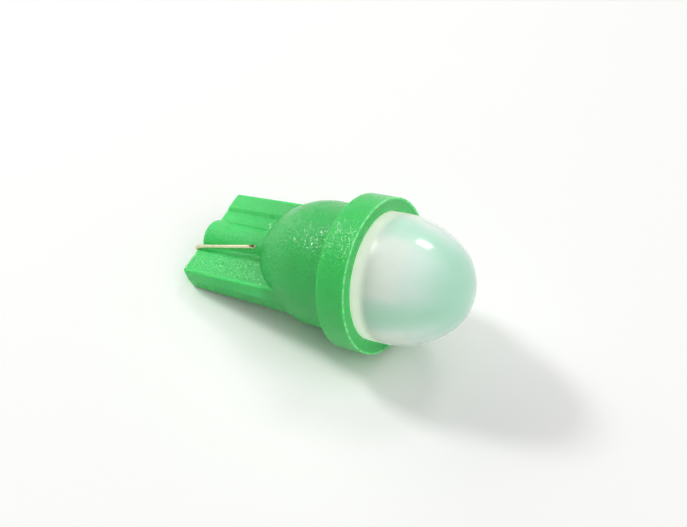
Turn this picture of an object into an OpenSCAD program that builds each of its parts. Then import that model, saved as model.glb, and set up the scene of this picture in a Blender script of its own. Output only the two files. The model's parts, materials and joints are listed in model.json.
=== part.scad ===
// Wedge base LED lamp: a moulded green housing with a flat two wire wedge, a round circuit board
// with one six lead surface mount LED, and a thick milky dome lens pressed into the collar.
// Each piece is drawn on the lamp's own axis: X runs from the wedge to the dome with X = 0 at the
// front of the collar, Y runs across the wedge and Z is square to its broad faces.
// lay_down() then lays the finished lamp on the plane Z = 0.

/* [Overall] */
// Length from the front of the collar back to the tip of the wedge
wedge_reach = 18.2; // [16.4:0.1:22]
// Length from the front of the collar out to the top of the dome
lens_reach = 7.7; // [6.2:0.1:9.5]

/* [Collar and barrel] */
// Width of the collar's ring round its bore
collar_rim = 1.1; // [0.8:0.05:1.6]
// Thickness of the collar
collar_t = 2.55; // [2.1:0.05:3.5]
// Small bevel on the two rims of the collar
collar_edge = 0.12; // [0.05:0.01:0.4]
// Diameter of the barrel behind the collar
barrel_d = 10.8; // [10.2:0.1:13]
// Length from the front of the collar to where the barrel starts to round off
barrel_len = 5.55; // [4.5:0.05:7]
// Radius of the rounded rear end of the barrel
shoulder_r = 6.7; // [6:0.1:8.5]
// Wall of the hollow barrel
barrel_wall = 0.9; // [0.6:0.05:1.3]
// Bore in the collar that takes the board and the lens
bore_d = 10.9; // [10.6:0.05:13.2]
// Least width of the ledge that the board rests on
ledge_w = 0.9; // [0.5:0.05:1.2]

/* [Wedge] */
// Width of the broad faces of the wedge at its tip
wedge_w = 9.5; // [8.5:0.1:11.4]
// Thickness of the wedge at its tip
wedge_t = 2.25; // [2:0.05:2.8]
// How much further each broad face stands out at the barrel than at the tip
wedge_rise = 0.38; // [0:0.02:0.5]
// How much further each side face stands out at the barrel than at the tip
wedge_spread = 0.12; // [0:0.02:0.2]
// How much further each side face stands out at the middle plane than at a broad face
side_draft = 0.1; // [0.02:0.01:0.2]
// Bevel along the edges of the broad faces
wing_bevel = 0.08; // [0.04:0.01:0.2]
// Bevel round the end of the wedge
tip_bevel = 0.3; // [0.1:0.01:0.4]
// Diameter of the round boss along the middle of the wedge
boss_d = 3.6; // [3:0.1:4.4]
// Distance from the middle of the wedge to the outer side of the wide valley
valley_out = 3.1; // [2.6:0.05:3.6]
// Depth of the wide valley and of the wire groove
valley_depth = 0.24; // [0.1:0.01:0.35]
// Width of the sloping flank of the wide valley
valley_flank = 0.35; // [0.1:0.05:0.6]
// Width of the sloping flank of the wire groove
groove_flank = 0.12; // [0.05:0.01:0.35]
// Clearance between a wire and the side of its groove
groove_gap = 0.04; // [0.02:0.01:0.15]
// Clearance between a wire and the floor of its groove
floor_gap = 0.03; // [0.01:0.01:0.1]
// Clearance between a wire and the boss
boss_gap = 0.27; // [0.1:0.01:0.4]

/* [Lead wires] */
// Diameter of a lead wire
wire_d = 0.36; // [0.3:0.01:0.45]
// Clearance of a wire in its bore through the wedge
wire_gap = 0.05; // [0.03:0.01:0.08]
// How far a wire stands out of the front of the board
wire_stub = 0.45; // [0.3:0.05:0.8]
// Radius of the bends at the tip, to the middle of the wire
tip_bend_r = 0.32; // [0.25:0.01:0.36]
// Radius of the bends inside the barrel, to the middle of the wire
inner_bend_r = 0.8; // [0.4:0.1:1.2]
// Distance that the free end of the wire stops short of the barrel's shoulder
tail_short = 0.7; // [0.3:0.1:3]
// How far the free end of the wire has sprung away from the face
tail_lift = 1.3; // [0.2:0.1:1.6]
// How far the free end has drifted toward the middle of the wedge
tail_drift = 0.4; // [0:0.05:0.5]

/* [Lens] */
// Clearance between the lens and the collar bore, on the radius
lens_gap = 0.07; // [0.03:0.01:0.12]
// Wall of the lens
lens_wall = 1.0; // [0.7:0.05:1.2]
// Straight length of the lens in front of the collar
lens_straight = 1.0; // [0.5:0.1:1.6]
// Fullness of the dome: 1 is a plain ball nose, 2 follows an ellipse
lens_full = 1.67; // [1.4:0.01:1.9]

/* [Circuit board] */
// Thickness of the circuit board
board_t = 0.8; // [0.6:0.1:1]
// Depth from the front of the collar to the ledge that the board rests on
ledge_depth = 1.6; // [1.4:0.05:1.9]
// Clearance between the board and the collar bore, on the radius
board_gap = 0.1; // [0.05:0.01:0.15]
// Thickness of the copper tracks
copper_t = 0.07; // [0.03:0.01:0.1]
// Width of the copper tracks
track_w = 0.5; // [0.3:0.05:0.7]
// Width of the copper ring round a plated hole
ring_w = 0.3; // [0.2:0.05:0.35]
// Clearance between that ring and the lens or the housing
ring_gap = 0.13; // [0.05:0.01:0.2]

/* [LED package] */
// Side of the square LED package
led_w = 5.0; // [4.6:0.1:5.2]
// Height of the LED package
led_h = 1.6; // [1.4:0.1:1.9]
// Depth of the round cup in the LED package
cup_depth = 0.9; // [0.7:0.05:1.1]
// Diameter of the cup at its rim
cup_d = 4.4; // [4.2:0.1:4.6]
// Diameter of the cup at its floor
cup_floor_d = 4.0; // [3.9:0.1:4.1]
// Distance between neighbouring leads
lead_pitch = 1.6; // [1.4:0.05:1.7]
// Width of a lead
lead_w = 1.0; // [0.8:0.05:1.1]
// Thickness of the lead frame
lead_t = 0.15; // [0.1:0.01:0.2]
// Side of an LED die
die_w = 0.36; // [0.25:0.01:0.45]
// Height of an LED die
die_h = 0.14; // [0.1:0.01:0.2]
// Diameter of a bond wire
bond_d = 0.03; // [0.02:0.005:0.04]

/* [Series resistor] */
// Length of the chip resistor
res_l = 2.0; // [1.7:0.1:2.2]
// Width of the chip resistor
res_w = 1.25; // [1:0.05:1.4]
// Height of the chip resistor
res_h = 0.5; // [0.4:0.05:0.6]
// Length of each metal end of the resistor
res_end = 0.4; // [0.3:0.05:0.5]

/* [Hidden] */

$fn = 96;
far = 60; // longer than the lamp, for cuts that run right through

// Rest attitude: the rear rim of the collar, the rounded shoulder of the barrel and one corner of
// the wedge all touch the plane that the lamp lies on. With a short fat wedge, the end of the boss
// touches before the shoulder does.
bore_r = bore_d / 2;
collar_r = bore_r + collar_rim;
boss_r = boss_d / 2;
tip_x = -wedge_reach;
barrel_r = barrel_d / 2;
rim_back = collar_t - collar_edge; // the rim that rests, measured back from the collar's front
tip_back = wedge_reach - tip_bevel; // the same for the corner of the wedge
over_shoulder = collar_r - barrel_r + shoulder_r;
behind_rim = barrel_len - rim_back;
shoulder_pitch = acos(shoulder_r / norm([over_shoulder, behind_rim]))
    - atan2(behind_rim, over_shoulder);
boss_pitch = atan((collar_r - boss_r) / (tip_back - rim_back));
rest_pitch = min(shoulder_pitch, boss_pitch);
rest_drop = collar_r * cos(rest_pitch) + rim_back * sin(rest_pitch);
rest_corner = [wedge_w / 2 - wing_bevel, wedge_t / 2];
corner_drop = rest_drop / cos(rest_pitch) - tip_back * tan(rest_pitch);
rest_roll = asin(corner_drop / norm(rest_corner)) - atan2(rest_corner[1], rest_corner[0]);

// Barrel and board
hollow_r = min(barrel_r - barrel_wall, bore_r - ledge_w);
board_r = bore_r - board_gap;
board_back = -ledge_depth;
board_front = board_back + board_t;
copper_front = board_front + copper_t;
copper_back = board_back - copper_t;
wedge_bury = 0.5;
wedge_root = -barrel_len - wedge_bury; // the wedge is buried in the barrel from here on
taper_len = wedge_root - tip_x - tip_bevel;
hollow_taper = [3.6, 1.3]; // length and narrowing of the end of the hollow
hollow_end_x = -barrel_len - hollow_taper[0];
hollow_end_r = hollow_r - hollow_taper[1];

// Lens
lens_r = bore_r - lens_gap;
nose_len = lens_reach - lens_straight;
lens_side_r = lens_r * pow(nose_len / lens_r, lens_full);
lens_top_r = (pow(nose_len, 2) + pow(lens_side_r - lens_r, 2) - pow(lens_side_r, 2))
    / (2 * (nose_len - lens_side_r));
// where the side curve meets the top curve, as an angle at their centres
lens_turn = atan2(abs(lens_side_r - lens_r), abs(nose_len - lens_top_r));

// Middle of the lamp's length as it lies, which goes over the origin
wire_r = wire_d / 2;
loop_x = tip_x - wire_gap - wire_r;
lens_mid_x = lens_reach - lens_top_r;
front_x = lens_mid_x * cos(rest_pitch) + lens_top_r;
rear_x = tip_x * cos(rest_pitch) - boss_r * sin(rest_pitch);
rest_shift = -(front_x + rear_x) / 2;

// Lead wires: along the axis inside, then over the end and along a broad face
wire_hole_r = wire_r + wire_gap;
plated_hole_r = wire_hole_r + copper_t;
pad_r = plated_hole_r + ring_w;
hole_y = min(lens_r - lens_wall, hollow_r) - pad_r - ring_gap;
wire_end_x = copper_front + wire_stub;
jog_from = 1.5; // how far behind the board the wires turn inward
jog_to = 1.6; // how far behind the straight barrel they are in line with the wedge bores
jog_x = copper_back - jog_from;
bore_x = -barrel_len - jog_to;
tail_z = wedge_t / 2 - valley_depth + wire_r + floor_gap;
wire_y = sqrt(pow(boss_r + boss_gap + wire_r, 2) - pow(tail_z, 2));
groove_out = wire_y + wire_r + groove_gap + groove_flank;
tail_end_y = tail_drift - wire_y;
tail_end_z = tail_z + tail_lift;
tail_end_x = shoulder_x(norm([tail_end_y, tail_end_z])) - tail_short;

// Seats of the LED on the board
led_base = copper_front;
cup_floor = led_base + led_h - cup_depth;
lead_out = led_w / 2 + lead_t;
foot_len = 0.6; // how far a lead's foot reaches under the package
foot_in = led_w / 2 - foot_len;
land_past = 0.45; // how far a land reaches past its lead
land_out = lead_out + land_past;
land_w = lead_w + 0.1;
fillet_h = 0.5; // height of the solder on a lead
solder_edge = 0.05; // bare edge that the solder leaves on a land
LEAD_Y = [-lead_pitch, 0, lead_pitch];
carrier_reach = -0.35; // the leads on the +Z side run past the middle and carry the dies
finger_reach = 0.7; // the leads on the -Z side stop short of them
die_top = cup_floor + die_h;
loop_h = 0.22; // height of a bond wire over its die

// Series resistor, behind the board
res_y = -1.4;
res_z = 0;
res_skin = 0.05; // thickness of the metal ends and of the resistive film
res_low = copper_back;
res_pad_past = 0.25; // how far a land reaches past the resistor
res_pad_len = res_end + res_pad_past;
res_pad_z = res_l / 2 - res_end + res_pad_len / 2; // from the resistor's middle to a land's
via_r = 0.15;
via_pad_r = 0.34;
via_y = LEAD_Y[0];
via_z = foot_in - via_pad_r / 2;

// ---- Helpers ----

// Puts a profile drawn as [radius, X] round the lamp's axis
module turned() {
    rotate([0, 90, 0])
        rotate_extrude()
            children();
}

// Raises a flat shape drawn as [Y, Z] from X = x0 by h
module raised(x0, h) {
    translate([x0, 0, 0])
        rotate([90, 0, 90])
            linear_extrude(height = h)
                children();
}

// Cylinder along X
module rod(x0, x1, r) {
    translate([x0, 0, 0])
        rotate([0, 90, 0])
            cylinder(r = r, h = x1 - x0);
}

// Straight track between two [Y, Z] points
module strip(p, q, w) {
    run = q - p;
    translate(p)
        rotate(atan2(run[1], run[0]))
            translate([0, -w / 2])
                square([norm(run), w]);
}

// Rectangle given by its middle and size, in [Y, Z]
module pad(p, size) {
    translate(p)
        square(size, center = true);
}

// Where the rounded end of the barrel lies along X at a distance r from the axis
function shoulder_x(r) =
    -barrel_len - sqrt(pow(shoulder_r, 2) - pow(r + shoulder_r - barrel_r, 2));

function unit(v) = v / norm(v);

// Points round one bend of radius r at point b, coming from a and going to c
function bend_points(a, b, c, r, steps) =
    let (
        u = unit(a - b),
        v = unit(c - b),
        half = acos(u * v) / 2,
        reach = r / tan(half),
        middle = b + unit(u + v) * r / sin(half),
        from = b + u * reach - middle,
        to = b + v * reach - middle,
        whole = 180 - 2 * half
    )
    [for (i = [0 : steps]) middle
        + (sin(whole * (1 - i / steps)) * from + sin(whole * i / steps) * to) / sin(whole)];

// Centre line of a wire through corner points, rounded with one radius for each corner
function wire_line(points, radii, steps) = [
    points[0],
    for (i = [1 : len(points) - 2])
        each bend_points(points[i - 1], points[i], points[i + 1], radii[i - 1], steps),
    points[len(points) - 1]
];

// Carries the side vector n along a line, so that the rings of a wire don't twist
function carried(line, n, i = 0) =
    i >= len(line) ? [] :
    let (
        back = i == 0 ? line[1] - line[0] : line[i] - line[i - 1],
        ahead = i == len(line) - 1 ? back : line[i + 1] - line[i],
        t = unit(unit(back) + unit(ahead)),
        side = unit(n - (n * t) * t)
    )
    concat([[side, cross(t, side), 1 / (unit(back) * t)]], carried(line, side, i + 1));

// Round wire of radius r along a line of points
module wire(line, r, sides, side = [0, 0, 1]) {
    frames = carried(line, side);
    rings = [for (i = [0 : len(line) - 1]) for (k = [0 : sides - 1])
        line[i] + r * (cos(360 * k / sides) * frames[i][0] + sin(360 * k / sides) * frames[i][1])];
    last = len(line) - 1;
    walls = [for (i = [0 : last - 1]) for (k = [0 : sides - 1])
        [i * sides + k, (i + 1) * sides + k,
            (i + 1) * sides + (k + 1) % sides, i * sides + (k + 1) % sides]];
    ends = [[for (k = [0 : sides - 1]) k], [for (k = [sides - 1 : -1 : 0]) last * sides + k]];
    polyhedron(points = rings, faces = concat(walls, ends), convexity = 6);
}

// Lays the lamp on its side: rolled onto a corner of the wedge and pitched onto the shoulder
module lay_down() {
    translate([rest_shift, 0, rest_drop])
        rotate([0, -rest_pitch, 0])
            rotate([rest_roll, 0, 0])
                children();
}

// Repeats its children for the second broad face, half a turn about the lamp's axis
module both_faces() {
    for (turn = [0, 180])
        rotate([turn, 0, 0])
            children();
}

// ---- Housing ----

// Profile of the barrel and its rounded end
module barrel_profile() {
    translate([0, -barrel_len])
        square([barrel_r, barrel_len - collar_t / 2]);
    intersection() {
        translate([barrel_r - shoulder_r, -barrel_len])
            circle(r = shoulder_r, $fn = 180);
        translate([0, -barrel_len - 2 * shoulder_r])
            square([barrel_r + 1, 2 * shoulder_r]);
    }
}

// Profile of the hollow: the bore for the board and lens, then the barrel, narrowing at its end
module hollow_profile() {
    polygon([
        [0, 1], [bore_r, 1], [bore_r, board_back], [hollow_r, board_back], [hollow_r, -barrel_len],
        [hollow_end_r, hollow_end_x], [0, hollow_end_x]
    ]);
}

module collar_profile() {
    polygon([
        [0, -collar_t], [collar_r - collar_edge, -collar_t], [collar_r, collar_edge - collar_t],
        [collar_r, -collar_edge], [collar_r - collar_edge, 0], [0, 0]
    ]);
}

// The wedge seen from its side: it thickens toward the barrel and is bevelled at its end
module wedge_side_view() {
    half = wedge_t / 2;
    root = half + wedge_rise;
    rotate([90, 0, 0])
        linear_extrude(height = far, center = true)
            polygon([
                [tip_x, half - tip_bevel], [tip_x + tip_bevel, half], [wedge_root, root],
                [wedge_root, -root], [tip_x + tip_bevel, -half], [tip_x, tip_bevel - half]
            ]);
}

// The wedge seen from above: it spreads toward the barrel and has bevelled corners
module wedge_plan() {
    half = wedge_w / 2 + side_draft;
    root = half + wedge_spread;
    linear_extrude(height = far, center = true)
        polygon([
            [tip_x, half - tip_bevel], [tip_x + tip_bevel, half], [wedge_root, root],
            [wedge_root, -root], [tip_x + tip_bevel, -half], [tip_x, tip_bevel - half]
        ]);
}

// Cut along the slope of the upper face, drawn as [Y, Z] with Z = 0 on the face
module face_cut() {
    translate([tip_x, 0, wedge_t / 2])
        rotate([0, -atan(wedge_rise / taper_len), 0])
            raised(-1, wedge_root - tip_x + 2)
                children();
}

// Shallow valley in the upper face, from beside the boss out to y_out; side is 1 or -1
module valley(y_out, flank, side) {
    face_cut()
        polygon([
            [0, -valley_depth], [side * (y_out - flank), -valley_depth], [side * y_out, 0],
            [side * y_out, 3], [0, 3]
        ]);
}

// Upper half of a side face, which leans in from the parting line on the middle plane, and the
// bevel along the edge of the upper face; it follows the spread of the wedge
module side_cut() {
    out = wedge_w / 2;
    face = wedge_t / 2;
    translate([tip_x + tip_bevel, 0, 0])
        rotate([0, 0, atan(wedge_spread / taper_len)])
            raised(-tip_bevel - 1, taper_len + 2)
                polygon([
                    [out + side_draft, 0], [out, face], [out - 2 * side_draft, 3 * face],
                    [out + 3, 3 * face], [out + 3, 0]
                ]);
    translate([tip_x + tip_bevel, 0, face])
        rotate([0, 0, atan(wedge_spread / taper_len)])
            rotate([0, -atan(wedge_rise / taper_len), 0])
                raised(-tip_bevel - 1, taper_len + 2)
                    polygon([
                        [out - wing_bevel, 0], [out + 1, -wing_bevel - 1],
                        [out + 1, 3], [out - wing_bevel, 3]
                    ]);
}

module wedge_body() {
    difference() {
        intersection() {
            wedge_side_view();
            wedge_plan();
        }
        both_faces() {
            valley(valley_out, valley_flank, 1);
            valley(groove_out, groove_flank, -1);
            side_cut();
            mirror([0, 1, 0])
                side_cut();
        }
    }
    // the boss, bevelled at its end
    turned()
        polygon([
            [0, tip_x], [boss_r - tip_bevel, tip_x], [boss_r, tip_x + tip_bevel],
            [boss_r, wedge_root], [0, wedge_root]
        ]);
}

module housing() {
    color("#2fb457")
        difference() {
            union() {
                turned() {
                    collar_profile();
                    barrel_profile();
                }
                wedge_body();
            }
            turned()
                hollow_profile();
            // one bore through the wedge for each wire
            for (y = [-wire_y, wire_y])
                translate([0, y, 0])
                    rod(tip_x - 1, hollow_end_x + 1, wire_hole_r);
        }
}

// ---- Lens ----

// Half profile of the dome between its foot and its top, shrunk by inset
module lens_profile(inset, foot) {
    turn_x = lens_straight + (lens_side_r - inset) * cos(lens_turn);
    side_c = [lens_r - lens_side_r, lens_straight];
    r = lens_r - inset;
    translate([0, foot])
        square([r, lens_straight - foot]);
    intersection() {
        translate(side_c)
            circle(r = lens_side_r - inset, $fn = 180);
        translate([0, lens_straight])
            square([r + 1, turn_x - lens_straight]);
    }
    intersection() {
        translate([0, lens_mid_x])
            circle(r = lens_top_r - inset, $fn = 180);
        translate([0, turn_x])
            square([r + 1, lens_reach]);
    }
}

module dome_lens() {
    color("#cfe6da")
        turned()
            difference() {
                lens_profile(0, board_front);
                lens_profile(lens_wall, board_front - 1);
            }
}

// ---- Circuit board ----

module circuit_board() {
    color("#ece9dc")
        difference() {
            rod(board_back, board_front, board_r);
            for (y = [-hole_y, hole_y])
                translate([0, y, 0])
                    rod(board_back - 1, board_front + 1, plated_hole_r);
            translate([0, via_y, via_z])
                rod(board_back - 1, board_front + 1, via_r);
        }
}

// Copper drawn on the front of the board
module front_copper() {
    raised(board_front, copper_t)
        children();
}

// Copper drawn on the back of the board
module back_copper() {
    raised(copper_back, copper_t)
        children();
}

// Land under one LED lead; row is 1 on the +Z side and -1 on the -Z side
module led_land(column, row) {
    reach = land_out - foot_in;
    pad([LEAD_Y[column], row * (foot_in + reach / 2)], [land_w, reach]);
}

// Plated wire hole with a ring on both faces of the board
module plated_hole(y) {
    translate([0, y, 0])
        difference() {
            union() {
                rod(copper_back, board_back, pad_r);
                rod(copper_back, copper_front, plated_hole_r);
                rod(board_front, copper_front, pad_r);
            }
            rod(copper_back - 1, copper_front + 1, wire_hole_r);
        }
}

module resistor_land(end) {
    pad([res_y, res_z + end * res_pad_z], [res_w, res_pad_len]);
}

module copper_supply() {
    color("#c98b4a")
        difference() {
            union() {
                plated_hole(-hole_y);
                back_copper() {
                    resistor_land(-1);
                    strip([-hole_y, 0], [res_y, res_z - res_pad_z], track_w);
                }
            }
            translate([0, -hole_y, 0])
                rod(copper_back - 1, copper_front + 1, wire_hole_r);
        }
}

module copper_feed() {
    color("#c98b4a") {
        back_copper() {
            resistor_land(1);
            strip([res_y, res_z + res_pad_z], [via_y, via_z], track_w);
            translate([via_y, via_z])
                circle(r = via_pad_r);
        }
        translate([0, via_y, via_z])
            rod(board_back, board_front, via_r);
        front_copper() {
            led_land(0, 1);
            translate([via_y, via_z])
                circle(r = via_pad_r);
        }
    }
}

module copper_link_low() {
    color("#c98b4a")
        front_copper() {
            led_land(0, -1);
            led_land(1, -1);
            strip([LEAD_Y[0], -land_out + track_w / 2], [LEAD_Y[1], -land_out + track_w / 2], track_w);
        }
}

module copper_link_high() {
    color("#c98b4a")
        front_copper() {
            led_land(1, 1);
            led_land(2, 1);
            strip([LEAD_Y[1], land_out - track_w / 2], [LEAD_Y[2], land_out - track_w / 2], track_w);
        }
}

module copper_return() {
    color("#c98b4a")
        difference() {
            union() {
                plated_hole(hole_y);
                front_copper() {
                    led_land(2, -1);
                    strip([LEAD_Y[2], track_w - land_out], [hole_y, 0], track_w);
                }
            }
            translate([0, hole_y, 0])
                rod(copper_back - 1, copper_front + 1, wire_hole_r);
        }
}

// ---- LED package ----

// Side view of one lead as [X, Z]: a foot folded under the package, an upright outside it, and
// a strip along the floor of the cup as far in as reach
module lead_profile(row) {
    reach = row > 0 ? carrier_reach : finger_reach;
    floor_back = cup_floor - lead_t;
    polygon([
        [led_base, row * foot_in], [led_base, row * lead_out], [cup_floor, row * lead_out],
        [cup_floor, row * reach], [floor_back, row * reach], [floor_back, row * led_w / 2],
        [led_base + lead_t, row * led_w / 2], [led_base + lead_t, row * foot_in]
    ]);
}

// One lead of the frame; row is 1 for the leads that carry dies and -1 for the others
module led_lead(column, row) {
    color("#d8d6cc")
        translate([0, LEAD_Y[column] + lead_w / 2, 0])
            rotate([90, 0, 0])
                linear_extrude(height = lead_w)
                    lead_profile(row);
}

module led_leads() {
    for (column = [0 : 2], row = [-1, 1])
        led_lead(column, row);
}

// The tapered round cup in the package
module cup() {
    translate([cup_floor, 0, 0])
        rotate([0, 90, 0])
            cylinder(r1 = cup_floor_d / 2, r2 = cup_d / 2, h = cup_depth);
}

module led_package() {
    color("#f6f4ec")
        difference() {
            raised(led_base, led_h)
                square(led_w, center = true);
            cup();
            led_leads();
        }
}

module led_die(column) {
    color("#3f7f6a")
        raised(cup_floor, die_h)
            pad([LEAD_Y[column], 0], [die_w, die_w]);
}

// One gold wire from the top of a die down to a lead, in a low loop
module bond_wire(column, row) {
    near = row * die_w * 0.28;
    out = row * (finger_reach + (row > 0 ? 0.05 : 0.25));
    peak = die_top + loop_h;
    y = LEAD_Y[column];
    color("#e0b64a")
        wire(
            wire_line(
                [[die_top, y, near], [peak, y, near], [peak, y, (near + out) / 2], [cup_floor, y, out]],
                [0.08, 0.12], 3),
            bond_d / 2, 6, [0, 1, 0]);
}

module bond_wires() {
    for (column = [0 : 2], row = [-1, 1])
        bond_wire(column, row);
}

module led_encapsulant() {
    color("#e6efe4")
        difference() {
            cup();
            led_leads();
            for (column = [0 : 2])
                led_die(column);
            bond_wires();
        }
}

// Solder fillet between the upright of a lead and its land
module led_solder(column, row) {
    color("#cfd2d0")
        translate([0, LEAD_Y[column] + lead_w / 2, 0])
            rotate([90, 0, 0])
                linear_extrude(height = lead_w)
                    polygon([
                        [led_base, row * lead_out], [led_base + fillet_h, row * lead_out],
                        [led_base, row * (land_out - solder_edge)]
                    ]);
}

// ---- Series resistor ----

// Box behind the board, from the copper down; z0 and z1 are measured from the resistor's middle
module resistor_box(x0, x1, width, z0, z1) {
    raised(min(x0, x1), abs(x1 - x0))
        translate([res_y - width / 2, res_z + min(z0, z1)])
            square([width, abs(z1 - z0)]);
}

module resistor_core() {
    color("#f2f0ea")
        resistor_box(res_low - res_skin, res_low - res_h + res_skin, res_w,
            res_skin - res_l / 2, res_l / 2 - res_skin);
}

module resistor_film() {
    color("#23272b")
        resistor_box(res_low - res_h + res_skin, res_low - res_h, res_w - 0.1,
            res_end - res_l / 2, res_l / 2 - res_end);
}

// Metal end cap that wraps three sides of the core; end is 1 or -1
module resistor_end(end) {
    color("#c9ccce")
        difference() {
            resistor_box(res_low, res_low - res_h, res_w,
                end * (res_l / 2 - res_end), end * res_l / 2);
            resistor_box(res_low - res_skin, res_low - res_h + res_skin, res_w + 1,
                end * (res_l / 2 - res_end - 1), end * (res_l / 2 - res_skin));
        }
}

// Solder fillet between the end of the resistor and its land
module resistor_solder(end) {
    low = res_low - res_h * 0.7;
    foot = res_pad_z + res_pad_len / 2 - solder_edge;
    color("#cfd2d0")
        translate([0, res_y + res_w / 2, res_z])
            rotate([90, 0, 0])
                linear_extrude(height = res_w)
                    polygon([
                        [res_low, end * res_l / 2], [low, end * res_l / 2], [res_low, end * foot]
                    ]);
}

// ---- Lead wires ----

// Lead wire on the -Y side: from the front of the board, back through the wedge, over its end
// and along the upper face, where the free end has sprung up a little
module lead_wire() {
    corners = [
        [wire_end_x, -hole_y, 0],
        [jog_x, -hole_y, 0],
        [bore_x, -wire_y, 0],
        [loop_x, -wire_y, 0],
        [loop_x, -wire_y, tail_z],
        [tail_end_x, tail_end_y, tail_end_z]
    ];
    color("#ddd9bd")
        wire(wire_line(corners, [inner_bend_r, inner_bend_r, tip_bend_r, tip_bend_r], 6),
            wire_r, 16);
}

module lead_wire_a() {
    lead_wire();
}

module lead_wire_b() {
    rotate([180, 0, 0])
        lead_wire();
}

// Solder round a lead wire, through the plated hole and in a cone on the front of the board
module wire_solder(y) {
    color("#cfd2d0")
        translate([0, y, 0])
            turned()
                polygon([
                    [wire_r, copper_back], [wire_hole_r, copper_back], [wire_hole_r, copper_front],
                    [pad_r - solder_edge, copper_front],
                    [wire_hole_r + 0.02, copper_front + 0.7 * wire_stub],
                    [wire_r, copper_front + 0.8 * wire_stub]
                ]);
}

// ---- Assembly ----

lay_down() housing();
lay_down() dome_lens();
lay_down() circuit_board();
lay_down() copper_supply();
lay_down() copper_feed();
lay_down() copper_link_low();
lay_down() copper_link_high();
lay_down() copper_return();
lay_down() led_package();
for (column = [0 : 2]) {
    lay_down() led_lead(column, -1);
    lay_down() led_lead(column, 1);
    lay_down() led_die(column);
    lay_down() bond_wire(column, -1);
    lay_down() bond_wire(column, 1);
    lay_down() led_solder(column, -1);
    lay_down() led_solder(column, 1);
}
lay_down() led_encapsulant();
lay_down() resistor_core();
lay_down() resistor_film();
lay_down() resistor_end(-1);  // resistor_end_1
lay_down() resistor_end(1);  // resistor_end_2
lay_down() resistor_solder(-1);  // resistor_solder_1
lay_down() resistor_solder(1);  // resistor_solder_2
lay_down() lead_wire_a();
lay_down() lead_wire_b();
lay_down() wire_solder(-hole_y);  // wire_solder_a
lay_down() wire_solder(hole_y);  // wire_solder_b
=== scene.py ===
"""Looks of a wedge base LED lamp: a green moulded housing, a milky dome, and what they hold.

New pieces are drawn on the lamp's own axis in millimetres. X runs from the wedge to the dome, with
X = 0 at the front of the collar, Y runs across the wedge, and Z is square to its broad faces.
"""
import json
import logging
import math
from dataclasses import dataclass
from enum import Enum

import bmesh
import bpy
import numpy as np
from mathutils import Matrix, Vector


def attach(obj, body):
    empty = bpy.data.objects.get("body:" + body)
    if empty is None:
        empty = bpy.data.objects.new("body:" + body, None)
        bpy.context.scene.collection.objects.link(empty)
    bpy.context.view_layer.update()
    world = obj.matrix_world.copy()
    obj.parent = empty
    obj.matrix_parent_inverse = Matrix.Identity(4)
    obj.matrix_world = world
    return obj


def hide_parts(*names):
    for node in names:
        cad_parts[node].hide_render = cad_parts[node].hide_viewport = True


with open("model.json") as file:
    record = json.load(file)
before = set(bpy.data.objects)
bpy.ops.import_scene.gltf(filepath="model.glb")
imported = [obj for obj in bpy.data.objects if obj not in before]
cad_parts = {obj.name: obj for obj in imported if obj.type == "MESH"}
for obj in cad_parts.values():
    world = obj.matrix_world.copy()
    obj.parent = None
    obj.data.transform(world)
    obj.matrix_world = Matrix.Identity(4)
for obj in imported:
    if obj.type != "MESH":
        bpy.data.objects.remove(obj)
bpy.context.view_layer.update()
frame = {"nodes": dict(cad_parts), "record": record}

BODY = "root"
MM = 0.001
ON_AXIS = 1e-6
CORNER_STEPS = 4
FACE_WEIGHT = 80

log = logging.getLogger("lamp")

Point = tuple[float, float]
Place = tuple[float, float, float]
Colour = tuple[float, float, float]
Face = tuple[int, ...]
Thing = bpy.types.Object
Node = bpy.types.Node
Socket = bpy.types.NodeSocket
Outputs = bpy.types.NodeOutputs
Value = Socket | float | Colour


# ---- Shapes ----


@dataclass(frozen=True)
class Corner:
    """One corner of an outline, rounded with its own radius."""

    x: float
    y: float
    radius: float = 0.0


def bend(before: Vector, here: Vector, after: Vector, radius: float, steps: int) -> list[Vector]:
    """Rounds one corner.

    Args:
        before: the point that the line comes from.
        here: the corner.
        after: the point that the line goes to.
        radius: the radius of the bend.
        steps: how many edges the bend gets.

    Returns:
        steps + 1 points.
    """
    to_before, to_after = (before - here).normalized(), (after - here).normalized()
    half = to_before.angle(to_after) / 2
    reach = radius / math.tan(half)
    middle = here + (to_before + to_after).normalized() * radius / math.sin(half)
    start, end = here + to_before * reach - middle, here + to_after * reach - middle
    whole = math.pi - 2 * half
    shares = [step / steps for step in range(steps + 1)]
    return [
        middle + (start * math.sin(whole * (1 - t)) + end * math.sin(whole * t)) / math.sin(whole) for t in shares
    ]


def rounded(corners: list[Corner], closed: bool = False) -> list[Point]:
    """Rounds the corners of an outline.

    Args:
        corners: the outline's corners in order.
        closed: whether the last corner joins the first.

    Returns:
        The points of the outline, CORNER_STEPS + 1 of them for each rounded corner.
    """
    points: list[Point] = []
    last = len(corners) - 1
    for i, corner in enumerate(corners):
        if corner.radius <= 0 or (not closed and i in (0, last)):
            points.append((corner.x, corner.y))
            continue
        three = [Vector((c.x, c.y)) for c in (corners[i - 1], corner, corners[i - last])]
        points += [tuple(point) for point in bend(*three, corner.radius, CORNER_STEPS)]
    return points


def arc(centre: Point, radius: float, start: float, end: float, steps: int) -> list[Point]:
    """Points round an arc.

    Args:
        centre: the arc's centre.
        radius: its radius.
        start: the angle of its first point, in radians.
        end: the angle of its last point, in radians.
        steps: how many edges it has.

    Returns:
        steps + 1 points.
    """
    angles = [start + (end - start) * i / steps for i in range(steps + 1)]
    return [(centre[0] + radius * math.cos(a), centre[1] + radius * math.sin(a)) for a in angles]


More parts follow.
